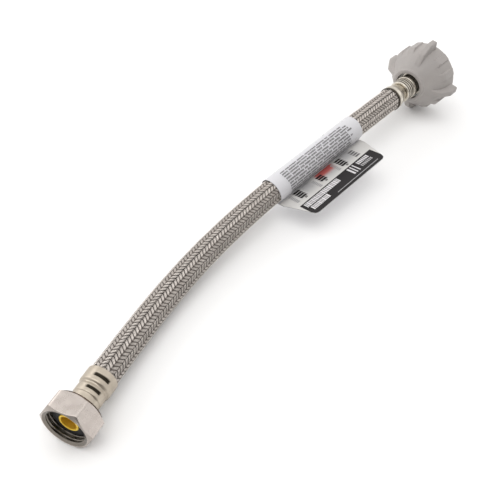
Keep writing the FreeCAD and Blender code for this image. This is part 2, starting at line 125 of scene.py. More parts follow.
def shade_camera_side(tree, background):
    """The room is darker low down on the side the camera stands, as behind a real tripod."""
    direction = tree.nodes.new("ShaderNodeTexCoord").outputs["Generated"]
    dot = tree.nodes.new("ShaderNodeVectorMath")
    dot.operation = "DOT_PRODUCT"
    dot.inputs[1].default_value = CAMERA_SIDE
    tree.links.new(direction, dot.inputs[0])
    share = tree.nodes.new("ShaderNodeMapRange")
    share.interpolation_type = "SMOOTHSTEP"
    share.inputs["From Min"].default_value = 0.1
    share.inputs["From Max"].default_value = 0.95
    tree.links.new(dot.outputs["Value"], share.inputs["Value"])
    tone = tree.nodes.new("ShaderNodeMix")
    tone.data_type = "RGBA"
    tone.inputs["A"].default_value = ROOM_TONE
    tone.inputs["B"].default_value = ROOM_DARK_TONE
    tree.links.new(share.outputs["Result"], tone.inputs["Factor"])
    tree.links.new(tone.outputs["Result"], background.inputs["Color"])


def make_studio():
    scene = bpy.context.scene
    scene.view_settings.view_transform = "Standard"
    world = bpy.data.worlds.new("studio")
    scene.world = world
    world.use_nodes = True
    background = world.node_tree.nodes["Background"]
    background.inputs["Strength"].default_value = ROOM_STRENGTH
    soft_light("key", (-0.2, -0.1, 1.0), (1.0, 1.0), 4.0)
    soft_light("fill", (0.7, -0.5, 0.6), (0.8, 0.8), 0.5)
    soft_light("back", (-0.1, 0.9, 0.6), (0.9, 0.5), 2.0)
    shade_camera_side(world.node_tree, background)


def make_floor():
    size = FLOOR_HALF_SIZE
    mesh = bpy.data.meshes.new("floor")
    mesh.from_pydata(
        [(-size, -size, 0), (size, -size, 0), (size, size, 0), (-size, size, 0)], [], [(0, 1, 2, 3)])
    floor = bpy.data.objects.new("floor", mesh)
    bpy.context.scene.collection.objects.link(floor)
    material = bpy.data.materials.new("floor_white")
    material.use_nodes = True
    surface = material.node_tree.nodes["Principled BSDF"]
    surface.inputs["Base Color"].default_value = FLOOR_TONE
    surface.inputs["Roughness"].default_value = 0.9
    surface.inputs["Specular IOR Level"].default_value = 0.1
    mesh.materials.append(material)


# ---------------------------------------------------------------- materials

class Shader:
    """A material with one Principled surface, and short ways to add the nodes that drive it."""

    def __init__(self, name, roughness, metallic=0.0, **sockets):
        self.material = bpy.data.materials.new(name)
        self.material.use_nodes = True
        self.nodes = self.material.node_tree.nodes
        self.links = self.material.node_tree.links
        self.surface = self.nodes["Principled BSDF"]
        self.surface.inputs["Roughness"].default_value = roughness
        self.surface.inputs["Metallic"].default_value = metallic
        for socket, value in sockets.items():
            self.surface.inputs[socket.replace("_", " ")].default_value = value
        self.place = self.attribute("own").outputs["Vector"]

    def noise(self, scale, detail=3.0, stretch=(1.0, 1.0, 1.0)):
        mapping = self.nodes.new("ShaderNodeMapping")
        mapping.inputs["Scale"].default_value = stretch
        self.links.new(self.place, mapping.inputs["Vector"])
        texture = self.nodes.new("ShaderNodeTexNoise")
        texture.inputs["Scale"].default_value = scale
        texture.inputs["Detail"].default_value = detail
        self.links.new(mapping.outputs["Vector"], texture.inputs["Vector"])
        return texture.outputs["Fac"]

    def spread(self, value, low, high):
        """value, which is mostly 0.3 to 0.7, spread from low to high."""
        node = self.nodes.new("ShaderNodeMapRange")
        node.inputs["From Min"].default_value = 0.3
        node.inputs["From Max"].default_value = 0.7
        node.inputs["To Min"].default_value = low
        node.inputs["To Max"].default_value = high
        self.links.new(value, node.inputs["Value"])
        return node.outputs["Result"]

    def mix(self, share, first, second, mode="MIX"):
        node = self.nodes.new("ShaderNodeMix")
        node.data_type = "RGBA"
        node.blend_type = mode
        for value, socket in ((share, node.inputs["Factor"]), (first, node.inputs["A"]),
                              (second, node.inputs["B"])):
            self.feed(value, socket)
        return node.outputs["Result"]

    def feed(self, value, socket):
        if isinstance(value, bpy.types.NodeSocket):
            self.links.new(value, socket)
        elif isinstance(value, tuple):
            socket.default_value = (*value, 1.0)
        else:
            socket.default_value = value

    def attribute(self, name):
        node = self.nodes.new("ShaderNodeAttribute")
        node.attribute_name = name
        return node

    def colour(self, value):
        self.feed(value, self.surface.inputs["Base Color"])

    def roughness(self, value):
        self.links.new(value, self.surface.inputs["Roughness"])

    def bump(self, height, strength, distance):
        node = self.nodes.new("ShaderNodeBump")
        node.inputs["Strength"].default_value = strength
        node.inputs["Distance"].default_value = distance
        self.links.new(height, node.inputs["Height"])
        self.links.new(node.outputs["Normal"], self.surface.inputs["Normal"])


def plated_metal(name, light, dark, groove, low=0.2, high=0.36, metallic=1.0):
    """Plated or bare turned metal: faint lathe lines round the axis, blotches, and painted shade: the
    colour darkens towards the groove colour in grooves, bores and recesses, and on the inlet nut's front
    chamfer as a painted dark reflection, as the mesh's groove attribute gives.
    """
    shader = Shader(name, 0.28, metallic=metallic)
    blotches = shader.noise(160.0, 4.0)
    lathe = shader.noise(2600.0, 2.0, (0.04, 0.04, 1.0))
    tone = shader.mix(shader.spread(blotches, 0.0, 1.0), light, dark)
    # Painted shade mask: where it is set, the colour is darkened towards the groove colour.
    painted_shade = shader.attribute("groove").outputs["Fac"]
    shader.colour(shader.mix(painted_shade, tone, groove))
    shader.roughness(shader.spread(shader.noise(260.0, 3.0), low, high))
    shader.bump(lathe, 0.05, 0.00003)
    return shader.material


def rubber(name, tone):
    shader = Shader(name, 0.55)
    shader.colour(shader.mix(shader.noise(500.0), tone, tuple(2.2 * c for c in tone)))
    shader.roughness(shader.spread(shader.noise(900.0), 0.45, 0.7))
    shader.bump(shader.noise(3000.0), 0.3, 0.00005)
    return shader.material


def moulded_plastic(name, light, dark):
    """Matt moulded plastic: slight flow marks, fine pebbled skin."""
    shader = Shader(name, 0.5, Specular_IOR_Level=0.4)
    flow = shader.noise(60.0, 4.0, (1.0, 1.0, 0.35))
    shader.colour(shader.mix(shader.spread(flow, 0.0, 1.0), light, dark))
    shader.roughness(shader.spread(shader.noise(700.0), 0.42, 0.6))
    shader.bump(shader.noise(2500.0, 4.0), 0.25, 0.00006)
    return shader.material


def wire_metal():
    """Fine stainless wire: its own bright tone where it rides on top, and painted shade that darkens it
    where it dives under.
    """
    shader = Shader("braid_wire", 0.33, metallic=1.0)
    tone = shader.mix(shader.spread(shader.noise(350.0, 4.0), 0.0, 1.0),
                      (0.84, 0.785, 0.735), (0.64, 0.59, 0.55))
    depth = shader.attribute("groove").outputs["Fac"]
    shader.colour(shader.mix(depth, tone, (0.16, 0.138, 0.124)))
    shader.roughness(shader.spread(shader.noise(1500.0), 0.26, 0.42))
    shader.bump(shader.noise(9000.0, 2.0), 0.2, 0.00002)
    return shader.material


def film():
    """Gloss label film. The printed tints come from the mesh's own colours."""
    shader = Shader("label_film", 0.3, Specular_IOR_Level=0.3)
    tint = shader.attribute("tint").outputs["Color"]
    mottle = shader.mix(shader.noise(900.0), (1.0, 1.0, 1.0), (0.96, 0.96, 0.97))
    shader.colour(shader.mix(1.0, tint, mottle, "MULTIPLY"))
    shader.roughness(shader.spread(shader.noise(260.0), 0.25, 0.4))
    shader.bump(shader.noise(120.0, 2.0), 0.15, 0.0002)
    return shader.material


def ink(name, tone):
    shader = Shader(name, 0.35, Specular_IOR_Level=0.15)
    shader.colour(shader.mix(shader.spread(shader.noise(2500.0), 0.0, 1.0),
                             tone, tuple(min(1.0, 1.25 * c + 0.008) for c in tone)))
    shader.roughness(shader.spread(shader.noise(1200.0), 0.28, 0.42))
    return shader.material


# ---------------------------------------------------------------- mesh helpers

def add_mesh(name, vertices, faces, material, place=None, groove=None, sharp_degrees=38.0):
    mesh = bpy.data.meshes.new(name)
    mesh.from_pydata(vertices, [], faces)
    mesh.polygons.foreach_set("use_smooth", [True] * len(mesh.polygons))
    mesh.set_sharp_from_angle(angle=math.radians(sharp_degrees))
    if groove is not None:
        mesh.attributes.new("groove", "FLOAT", "POINT").data.foreach_set("value", groove)
    own = [coordinate for vertex in vertices for coordinate in vertex]
    mesh.attributes.new("own", "FLOAT_VECTOR", "POINT").data.foreach_set("vector", own)
    if place is not None:
        mesh.transform(place)
    mesh.materials.append(material)
    piece = bpy.data.objects.new(name, mesh)
    bpy.context.scene.collection.objects.link(piece)
    return piece


def frame_along(place, along, spin):
    """A frame with +Z along and +Y as near to up as it can be, turned by spin about its own +Z."""
    across = UP.cross(along).normalized()
    turned_frame = Matrix((across, along.cross(across), along)).transposed().to_4x4()
    return Matrix.Translation(place * MM) @ turned_frame @ Matrix.Rotation(math.radians(spin), 4, "Z")


def fitting_place(mouth, heading, tilt=0.0, spin=0.0):
    angle, rise = math.radians(heading), math.radians(tilt)
    along = Vector((math.cos(angle) * math.cos(rise), math.sin(angle) * math.cos(rise),
                    math.sin(rise)))
    return frame_along(mouth, along, spin)


def rounded(corners, fillet):
    """The closed outline with every corner softened by up to fillet."""
    points = []
    for index, corner in enumerate(corners):
        here = Vector(corner[:2])
        size = corner[2] if len(corner) > 2 else fillet
        before = Vector(corners[index - 1][:2]) - here
        after = Vector(corners[(index + 1) % len(corners)][:2]) - here
        first = here + before.normalized() * min(size, 0.45 * before.length)
        last = here + after.normalized() * min(size, 0.45 * after.length)
        for share in (0.0, 0.33, 0.67, 1.0):
            points.append(first.lerp(here, share).lerp(here.lerp(last, share), share))
    return points


def divided(points, step):
    """The closed outline with no edge longer than step."""
    result = []
    for index, point in enumerate(points):
        following = points[(index + 1) % len(points)]
        pieces = max(1, math.ceil((following - point).length / step))
        result.extend(point.lerp(following, share / pieces) for share in range(pieces))
    return result


def turned(name, outline, place, material, segments=144, shape=None):
    """A solid of revolution. shape(radius, station, angle) gives (radius, groove) at a point."""
    vertices, groove = [], []
    for radius, station in outline:
        for segment in range(segments):
            angle = FULL_TURN * segment / segments
            reach, dark = (radius, 0.0) if shape is None else shape(radius, station, angle)
            vertices.append((
                reach * math.cos(angle) * MM, reach * math.sin(angle) * MM, station * MM))
            groove.append(dark)
    faces = []
    rings = len(outline)
    for ring in range(rings):
        above = (ring + 1) % rings
        for segment in range(segments):
            beside = (segment + 1) % segments
            faces.append((ring * segments + segment, ring * segments + beside,
                          above * segments + beside, above * segments + segment))
    return add_mesh(name, vertices, faces, material, place, groove)


def smooth_step(value, low, high):
    share = min(1.0, max(0.0, (value - low) / (high - low)))
    return share * share * (3.0 - 2.0 * share)


def soft_minimum(first, second, blend):
    share = max(0.0, blend - abs(first - second)) / blend
    return min(first, second) - share * share * blend * 0.25


def angle_between(angle, centre):
    """The angle from centre, from -half a turn to half a turn."""
    return (angle - centre + math.pi) % FULL_TURN - math.pi


def thread_wave(station, angle, pitch):
    """0 on a right-hand thread's crests and 1 in its roots, for a mouth at station 0."""
    phase = (station / pitch + angle / FULL_TURN) % 1.0
    return smooth_step(1.0 - abs(2.0 * phase - 1.0), 0.12, 0.88)


# ---------------------------------------------------------------- the inlet fitting

THREAD_PITCH = 1.814
HALF_FLATS = 12.0
HEX_CORNER = 13.62
INLET_FRONT_FACE = 11.6
INLET_FRONT_SLOPE = 1.55
INLET_BACK_FACE = 10.6
INLET_BACK_SLOPE = 1.7
INLET_NUT_LENGTH = 11.6
INLET_CREST = 9.55
INLET_MOUTH_EDGE = 11.5
INLET_THREAD_DEPTH = 0.8
INLET_THREAD_START = 0.6
INLET_THREAD_END = 9.2
THREAD_FADE = 1.0
INLET_SEAT = 9.5
INLET_BACK_HOLE = 7.2


def hexagon_radius(angle):
    sector = FULL_TURN / 6.0
    turn = (angle - math.pi / 2.0 + sector / 2.0) % sector - sector / 2.0
    return HALF_FLATS / math.cos(turn)


def inlet_nut_shape(radius, station, angle):
    if radius < INLET_MOUTH_EDGE + 0.05:
        inside = station > INLET_THREAD_START and radius < INLET_CREST + 0.3
        if inside and station < INLET_THREAD_END:
            fade = smooth_step(station, INLET_THREAD_START, INLET_THREAD_START + THREAD_FADE)
            fade *= 1.0 - smooth_step(station, INLET_THREAD_END - THREAD_FADE, INLET_THREAD_END)
            wave = thread_wave(station, angle, THREAD_PITCH)
            # Painted shade inside the nut: the threaded bore is coloured dark, darkest in the thread
            # roots.
            return radius + INLET_THREAD_DEPTH * wave * fade, 0.62 + 0.36 * wave
        # Painted shade: the plain bore, seat and back hole are coloured dark, and the mouth's countersink
        # darkens towards the bore.
        return radius, 0.8 if inside else 0.75 * smooth_step(INLET_MOUTH_EDGE - radius, 0.05, 0.3)
    front = INLET_FRONT_FACE + INLET_FRONT_SLOPE * station
    back = INLET_BACK_FACE + INLET_BACK_SLOPE * (INLET_NUT_LENGTH - station)
    hexagon = soft_minimum(hexagon_radius(angle), HEX_CORNER, 0.35)
    # Painted dark reflection: the front chamfer's colour is darkened.
    painted_shade = 0.35 * smooth_step(hexagon - front, -0.3, 0.1)
    return soft_minimum(soft_minimum(hexagon, front, 0.25), back, 0.25), painted_shade


def inlet_nut(place, material):
    outline = rounded([
        (INLET_MOUTH_EDGE, 0.0), (INLET_FRONT_FACE, 0.0, 0.02), (HALF_FLATS, 0.01, 0.0),
        (HALF_FLATS, INLET_NUT_LENGTH - 0.01, 0.0), (INLET_BACK_FACE, INLET_NUT_LENGTH, 0.02),
        (INLET_BACK_HOLE, INLET_NUT_LENGTH), (INLET_BACK_HOLE, INLET_SEAT), (INLET_CREST, INLET_SEAT),
        (INLET_CREST, 0.9),
    ], 0.25)
    return turned("inlet_nut_plated", divided(outline, 0.14), place, material, 240, inlet_nut_shape)


CRIMP_CENTRE = math.radians(116.0)
CRIMP_JAWS = 3
CRIMP_HALF_ARC = math.radians(34.0)
CRIMP_DEPTH = 0.5
CRIMPS = ((19.3, 0.95), (25.9, 1.1))


def crimp(station, angle, groove_station, half_width):
    """How deep, from 0 to 1, the crimping jaws have pressed here: slots with rounded ends."""
    jaw = FULL_TURN / CRIMP_JAWS
    jaws_round = angle_between(angle, CRIMP_CENTRE) / jaw
    turn = abs(jaws_round - round(jaws_round))
    ends = 1.0 - smooth_step(turn * jaw, CRIMP_HALF_ARC - 0.12, CRIMP_HALF_ARC)
    across = 1.0 - smooth_step(abs(station - groove_station), 0.45 * half_width, half_width)
    return ends * across


def inlet_ferrule_shape(radius, station, angle):
    if radius < 6.9:
        return radius, 0.0
    deep = max(crimp(station, angle, groove, half_width) for groove, half_width in CRIMPS)
    # Painted shade: the crimp dimples are coloured dark in step with their depth.
    return radius - CRIMP_DEPTH * deep, min(1.0, 1.3 * deep)


def inlet_ferrule(place, material):
    outline = rounded([
        (6.2, 13.4), (6.75, 13.4), (6.75, 16.3, 0.3), (7.2, 16.7, 0.3), (7.2, 20.6, 0.45),
        (6.92, 21.2, 0.3), (6.92, 22.0, 0.3), (7.85, 22.7, 0.5), (7.85, 30.0, 0.2),
        (7.2, 30.0, 0.1), (7.2, 23.1), (6.2, 23.1),
    ], 0.2)
    return turned("inlet_ferrule_pressed", divided(outline, 0.2), place, material, 192,
                  inlet_ferrule_shape)


def tube_outline(inner, outer, start, end):
    return [(inner, start), (outer, start), (outer, end), (inner, end)]


BARB_COUNT = 3
BARB_PITCH = 3.8
BARB_RADIUS = 4.35
BARB_ROOT = 3.95
STEM_BORE = 3.3


def barbs(start):
    corners = []
    for barb in range(BARB_COUNT):
        corners.append((BARB_RADIUS, start + barb * BARB_PITCH))
        corners.append((BARB_ROOT, start + (barb + 1) * BARB_PITCH))
    return corners


def inlet_stem(place, material):
    tail = 22.4
    end = tail + BARB_COUNT * BARB_PITCH
    outline = rounded([
        (4.0, 3.2, 0.15), (5.0, 3.2, 0.3), (5.0, 6.7), (8.2, 6.7), (8.2, 8.2), (6.2, 8.2, 0.4),
        (6.2, tail), *barbs(tail), (STEM_BORE, end), (STEM_BORE, 16.0), (4.0, 15.0),
    ], 0.15)
    return turned("inlet_stem_turned", divided(outline, 0.8), place, material, 128)


# ---------------------------------------------------------------- the tank fitting

def tank_stem_shape(radius, station, _angle):
    # Painted shade: inside the nut the stem's neck, face and bore are coloured dark, and from station 26
    # to 32 the bottoms of the body grooves and the bore are darker still.
    dark = 0.0
    if 26.0 < station < 32.0 and radius < 6.9:
        dark = 0.95
    if station < 24.0 and radius < 6.8:
        dark = 0.7
    return radius, dark


def tank_stem(place, material):
    tail = 39.1
    end = tail + BARB_COUNT * BARB_PITCH
    body = []
    for groove in (27.3, 29.0, 30.7):
        body += [(6.95, groove), (6.45, groove + 0.1), (6.45, groove + 0.6), (6.95, groove + 0.7)]
    outline = rounded([
        (4.2, 11.5), (6.3, 11.5), (6.3, 17.1), (9.9, 17.1), (9.9, 18.9), (6.5, 18.9), (6.5, 23.9),
        (7.3, 23.9, 0.35), (7.3, 25.9, 0.35), (6.5, 26.0), (6.5, 26.2), (6.95, 26.3), *body,
        (6.95, 32.7, 0.5), (4.9, 32.7), (4.9, tail), *barbs(tail), (STEM_BORE, end),
        (STEM_BORE, 22.0), (4.2, 21.0),
    ], 0.12)
    return turned("tank_stem_turned", divided(outline, 0.5), place, material, 144, tank_stem_shape)


def tank_ferrule_shape(radius, station, _angle):
    # Painted shade at the ferrule's open end: from station 41.7 its outside, lip, end face and bore are
    # coloured nearly black, with a shallow groove pressed in just before the lip.
    dark = 0.0
    if radius > 7.15:
        dark = smooth_step(station, 41.7, 42.1)
    return radius - 0.15 * dark * (1.0 - smooth_step(station, 42.2, 42.5)), 0.95 * dark


def tank_ferrule(place, material):
    outline = rounded([
        (4.9, 33.1), (5.6, 33.1, 0.25), (5.7, 34.2, 0.5), (7.2, 38.6, 1.2), (7.45, 39.8, 0.6),
        (7.45, 41.7, 0.2), (7.6, 42.3, 0.2), (7.6, 43.5, 0.25), (7.2, 43.5, 0.1), (7.2, 39.1),
        (4.9, 39.1),
    ], 0.2)
    return turned("tank_ferrule_pressed", divided(outline, 0.25), place, material, 144,
                  tank_ferrule_shape)


# The bell's radius by station, and the crest radius of a wing and of a rib by station.
BELL = [(0.0, 19.6), (3.0, 19.58), (8.2, 19.4), (10.4, 19.05), (12.5, 18.4), (14.6, 17.3), (16.5, 15.8),
        (18.4, 14.2), (20.2, 12.6), (21.6, 11.0), (23.0, 11.0)]
WING = [(0.0, 0.0), (1.9, 0.0), (2.2, 24.2), (2.6, 24.435), (8.6, 24.435), (9.6, 24.0), (15.5, 20.5),
        (19.6, 12.6), (23.0, 0.0)]
RIB = [(0.0, 0.0), (0.8, 0.0), (1.0, 20.5), (1.4, 20.6), (10.1, 20.6), (11.1, 20.2), (18.4, 14.0),
       (19.4, 12.6), (23.0, 0.0)]
FIN_COUNT = 12
WINGS_EVERY = 3
WING_HALF = 1.8
RIB_HALF = 2.2
FIN_DRAFT = 0.45
NUT_LENGTH = 23.0
TANK_CREST = 10.2
TANK_THREAD_DEPTH = 0.8
TANK_THREAD_START = 1.1
TANK_THREAD_END = 18.4


def along_table(table, station):
    for (low, first), (high, second) in zip(table, table[1:]):
        if station <= high:
            return first + (second - first) * max(0.0, station - low) / (high - low)
    return table[-1][1]


def fin_sides(half, draft):
    """Points across a fin, as (offset, share of its height): foot, wall, rounded crest."""
    left = [(-half - draft, 0.0), (-half - 0.6 * draft, 0.12), (-half - 0.3 * draft, 0.5),
            (-half, 0.9), (-half + 0.25, 0.985), (-half + 0.6, 1.0)]
    return left + [(-offset, share) for offset, share in reversed(left)]


def bell_ring(station):
    """The nut's outline at a station: twelve fins, four of them tall, joined by arcs of the bell."""
    radius = along_table(BELL, station)
    points = []
    sector = FULL_TURN / FIN_COUNT
    for fin in range(FIN_COUNT):
        tall = fin % WINGS_EVERY == 0
        crest = max(radius, along_table(WING if tall else RIB, station))
        half = WING_HALF if tall else RIB_HALF
        middle = math.pi / 2.0 + fin * sector
        outward = Vector((math.cos(middle), math.sin(middle)))
        sideways = Vector((-outward.y, outward.x))
        for offset, share in fin_sides(half, FIN_DRAFT):
            height = math.sqrt(radius * radius - offset * offset)
            points.append(outward * (height + share * (crest - radius)) + sideways * offset)
        next_half = WING_HALF if (fin + 1) % WINGS_EVERY == 0 else RIB_HALF
        start = middle + math.asin((half + FIN_DRAFT) / radius)
        end = middle + sector - math.asin((next_half + FIN_DRAFT) / radius)
        for share in (0.2, 0.4, 0.6, 0.8):
            angle = start + (end - start) * share
            points.append(Vector((math.cos(angle), math.sin(angle))) * radius)
    return points


def tank_nut(place, material):
    stations = [0.25, 0.8, 1.0, 1.4, 1.9, 2.05, 2.2, 2.4, 2.7]
    stations += [3.0 + 0.4 * step for step in range(50)]
    rings = [[point * 0.988 for point in bell_ring(0.0)]]
    levels = [0.0]
    for station in stations:
        rings.append(bell_ring(station))
        levels.append(station)
    angles = [math.atan2(point.y, point.x) for point in bell_ring(21.0)]
    inner = [(10.85, 22.92), (10.65, NUT_LENGTH), (9.0, NUT_LENGTH), (8.7, 22.9), (8.6, 22.6), (8.6, 20.1),
             (8.7, 20.0), (10.4, 20.0), (10.5, 19.9)]
    inner += [(TANK_CREST + 0.3, 19.0), (TANK_CREST, TANK_THREAD_END)]
    inner += [(TANK_CREST, TANK_THREAD_END - 0.16 * step) for step in range(1, 108)]
    inner += [(11.1, 0.12), (11.3, 0.0), (13.3, 0.0), (13.5, 0.12), (13.6, 0.4), (13.6, 7.6),
              (13.8, 7.95), (14.1, 8.0), (17.3, 8.0), (17.6, 7.9), (17.8, 7.6), (17.8, 0.4),
              (17.95, 0.1), (18.2, 0.0)]
    for radius, station in inner:
        ring = []
        for angle in angles:
            reach = radius
            if radius == TANK_CREST and TANK_THREAD_START < station < TANK_THREAD_END:
                fade = smooth_step(station, TANK_THREAD_START, 2.0)
                fade *= 1.0 - smooth_step(station, TANK_THREAD_END - THREAD_FADE, TANK_THREAD_END)
                reach += TANK_THREAD_DEPTH * fade * thread_wave(station, angle, THREAD_PITCH)
            ring.append(Vector((math.cos(angle), math.sin(angle))) * reach)
        rings.append(ring)
        levels.append(station)
    count = len(angles)
    vertices = []
    for ring, level in zip(rings, levels):
        vertices.extend((point.x * MM, point.y * MM, level * MM) for point in ring)
    faces = []
    for index in range(len(rings)):
        above = (index + 1) % len(rings)
        for corner in range(count):
            beside = (corner + 1) % count
            faces.append((index * count + corner, index * count + beside,
                          above * count + beside, above * count + corner))
    return add_mesh("tank_nut_moulded", vertices, faces, material, place, sharp_degrees=34.0)


# ---------------------------------------------------------------- the hose

CARRIERS = 16
LEAD = 36.0
WIRES = 4
WIRE_RADIUS = 0.155
WIRE_SPACING = 0.33
WEAVE_RADIUS = 6.68
WEAVE_HEIGHT = 0.24
STEP_ANGLE = math.radians(4.5)
WIRE_SIDES = 5
BANDS_PER_PIECE = 4
LINER_BORE = 4.4
YARN_BORE = 6.0
YARN_RADIUS = 6.36


def route_line():
    curve = bpy.data.curves.new("hose_route", "CURVE")
    curve.dimensions = "3D"
    spline = curve.splines.new("NURBS")
    spline.points.add(len(ROUTE) - 1)
    for point, place in zip(spline.points, ROUTE):
        point.co = (*place, 1.0)
    spline.order_u = 3
    spline.use_endpoint_u = True
    curve.resolution_u = 24
    line = bpy.data.objects.new("hose_route", curve)
    read = bpy.data.meshes.new_from_object(line)
    points = [vertex.co.copy() for vertex in read.vertices]
    bpy.data.objects.remove(line)
    bpy.data.meshes.remove(read)
    return points


class Line:
    """The hose's centreline, read by distance along it, with a frame that doesn't twist."""

    def __init__(self, points):
        self.points = points
        self.reach = [0.0]
        for first, second in zip(points, points[1:]):
            self.reach.append(self.reach[-1] + (second - first).length)
        self.length = self.reach[-1]
        self.frames = []
        up = UP
        for index in range(len(points)):
            before, after = points[max(0, index - 1)], points[min(len(points) - 1, index + 1)]
            along = (after - before).normalized()
            across = up.cross(along).normalized()
            up = along.cross(across)
            self.frames.append((along, across, up))
        self.near = 0

    def at(self, distance):
        """(centre, across, up) at a distance along the line."""
        if distance < self.reach[self.near]:
            self.near = 0
        while self.near < len(self.points) - 2 and self.reach[self.near + 1] < distance:
            self.near += 1
        here = self.near
        share = (distance - self.reach[here]) / (self.reach[here + 1] - self.reach[here])
        centre = self.points[here].lerp(self.points[here + 1], share)
        across = self.frames[here][1].lerp(self.frames[here + 1][1], share)
        up = self.frames[here][2].lerp(self.frames[here + 1][2], share)
        return centre, across, up


def tube_along(name, line, inner, outer, material, segments=48, step=2.0):
    rings = max(2, round(line.length / MM / step))
    vertices = []
    for radius in (outer, inner):
        for ring in range(rings + 1):
            centre, across, up = line.at(line.length * ring / rings)
            for segment in range(segments):
                angle = FULL_TURN * segment / segments
                vertices.append(centre + (across * math.cos(angle) + up * math.sin(angle)) * radius * MM)
    faces = []
    inside = (rings + 1) * segments
    for segment in range(segments):
        beside = (segment + 1) % segments
        for ring in range(rings):
            low, high = ring * segments, (ring + 1) * segments
            faces.append((low + segment, low + beside, high + beside, high + segment))
            faces.append((inside + low + beside, inside + low + segment,
                          inside + high + segment, inside + high + beside))
        end = rings * segments
        faces.append((beside, segment, inside + segment, inside + beside))
        faces.append((end + segment, end + beside, inside + end + beside, inside + end + segment))
    return add_mesh(name, vertices, faces, material)


def weave(angle):
    """1 where the right-handed bands ride on top and -1 where the left-handed ones do."""
    return max(-1.0, min(1.0, 2.1 * math.cos(CARRIERS / 2.0 * angle)))


def braid_band(line, hand, band, vertices, faces, groove):
    """One carrier's flat bundle of wires, round the hose from end to end, two over and two under."""
    length = line.length / MM
    turns = length / LEAD
    steps = math.ceil(turns * FULL_TURN / STEP_ANGLE)
    first_angle = FULL_TURN * (band + (0.25 if hand > 0 else 0.75)) / CARRIERS
    for wire in range(WIRES):
        side = (wire - (WIRES - 1) / 2.0) * WIRE_SPACING
        # A wire beside the band's middle is shifted along the hose and round it.
        slope = math.atan2(FULL_TURN * WEAVE_RADIUS, LEAD)
        shift_along = side * math.sin(slope)
        shift_round = -hand * side * math.cos(slope) / WEAVE_RADIUS
        jitter = random.uniform(-0.02, 0.02)
        start = len(vertices)
        for step in range(steps + 1):
            share = step / steps
            station = min(length, max(0.0, share * length + shift_along))
            angle = first_angle + hand * share * turns * FULL_TURN + shift_round
            lift = hand * weave(angle)
            edge = (2.0 * side / (WIRE_SPACING * WIRES)) ** 2
            crown = 0.05 - 0.16 * edge
            radius = WEAVE_RADIUS + WEAVE_HEIGHT * lift + crown + jitter
            centre, across, up = line.at(station * MM)
            outward = across * math.cos(angle) + up * math.sin(angle)
            around = up * math.cos(angle) - across * math.sin(angle)
            along = across.cross(up)
            flat = (around * math.cos(slope) * -hand + along * math.sin(slope)).normalized()
            middle = centre + outward * radius * MM
            for corner in range(WIRE_SIDES):
                turn = FULL_TURN * corner / WIRE_SIDES + 0.3
                vertices.append(middle + (outward * math.cos(turn) + flat * math.sin(turn))
                                * WIRE_RADIUS * MM)
                # Painted shade: each wire is coloured darker on its side towards the hose, on the band's
                # outer wires, and where the band dives under the other hand.
                buried = 0.3 * (0.5 - 0.5 * math.cos(turn)) + 0.4 * edge
                groove.append(min(1.0, buried + 1.1 * smooth_step(1.0 - lift, 0.0, 0.9)))
        for step in range(steps):
            low = start + step * WIRE_SIDES
            high = low + WIRE_SIDES
            for corner in range(WIRE_SIDES):
                beside = (corner + 1) % WIRE_SIDES
                faces.append((low + corner, low + beside, high + beside, high + corner))


def braid(line, material):
    """The braid, in pieces of four bands each."""
    pieces = []
    for hand in (1, -1):
        for group in range(CARRIERS // BANDS_PER_PIECE):
            vertices, faces, groove = [], [], []
            for band in range(BANDS_PER_PIECE):
                braid_band(line, hand, group * BANDS_PER_PIECE + band, vertices, faces, groove)
            name = "braid_%s_%d" % ("right" if hand > 0 else "left", group)
            pieces.append(add_mesh(name, vertices, faces, material, groove=groove,
                                   sharp_degrees=180.0))
    return pieces


# ---------------------------------------------------------------- the label

LABEL_RADIUS = 7.66
FLAG_TOP = -7.36
FLAG_BOTTOM = -7.72
CREASE = -4.6
BAND_START = -15.9
CORNER = 3.5
FILM_THICKNESS = 0.08
SLEEVE_TINT = Vector((0.64, 0.635, 0.655))
FLAG_TINT = Vector((0.63, 0.62, 0.60))
FADE_TINT = Vector((0.36, 0.36, 0.37))
RED_TINT = Vector((0.50, 0.10, 0.09))
BAND_LIFT = 0.12
MARK_LIFT = 0.13
WHITE_LIFT = 0.04
SLEEVE_PRINT_LIFT = 0.11


def label_place():
    along = (LABEL_RUN_END - LABEL_START).normalized()
    return frame_along(LABEL_START + along * LABEL_MARGIN, along, LABEL_TILT)


def label_section():
    """The film's cross-section: the flag's top layer, round the hose, and back under the flag."""
    section = []
    steps = 36
    for step in range(steps):
        section.append((-LABEL_REACH + (LABEL_REACH + CREASE) * step / steps, FLAG_TOP))
    start, end = math.radians(247.0), math.radians(-90.0)
    leave = Vector((math.cos(start), math.sin(start))) * LABEL_RADIUS
    first, bend = Vector((CREASE, FLAG_TOP)), Vector((-3.7, -7.3))
    for step in range(8):
        share = step / 8.0
        section.append(tuple(first.lerp(bend, share).lerp(bend.lerp(leave, share), share)))
    for step in range(73):
        angle = start + (end - start) * step / 72.0
        section.append((LABEL_RADIUS * math.cos(angle), LABEL_RADIUS * math.sin(angle)))
    for step in range(1, steps + 1):
        section.append((-LABEL_REACH * step / steps, FLAG_BOTTOM))
    return section


def flag_edge(distance):
    """How far the flag reaches, a distance along the label: shorter than the sleeve, round corners."""
    near = min(distance - FLAG_START, FLAG_END - distance)
    if near < 0.0:
        return max(7.9, LABEL_REACH - CORNER + 3.6 * near)
    if near >= CORNER:
        return LABEL_REACH
    return LABEL_REACH - CORNER + math.sqrt(max(0.0, CORNER ** 2 - (CORNER - near) ** 2))


def flag_tint(across, distance):
    """The flag's printed ground: pale, with grey fades and a red fade near the hose."""
    out = -across
    tint = FLAG_TINT
    for centre in (20.0, 38.0, 54.0):
        fade = smooth_step(7.5 - abs(distance - centre), 0.0, 6.0) * smooth_step(16.0 - out, 0.0, 8.0)
        tint = tint.lerp(FADE_TINT, 0.7 * fade)
    red = smooth_step(8.5 - abs(distance - 36.0), 0.0, 3.0) * smooth_step(11.0 - out, 0.0, 3.5)
    return tint.lerp(RED_TINT, 0.95 * red)


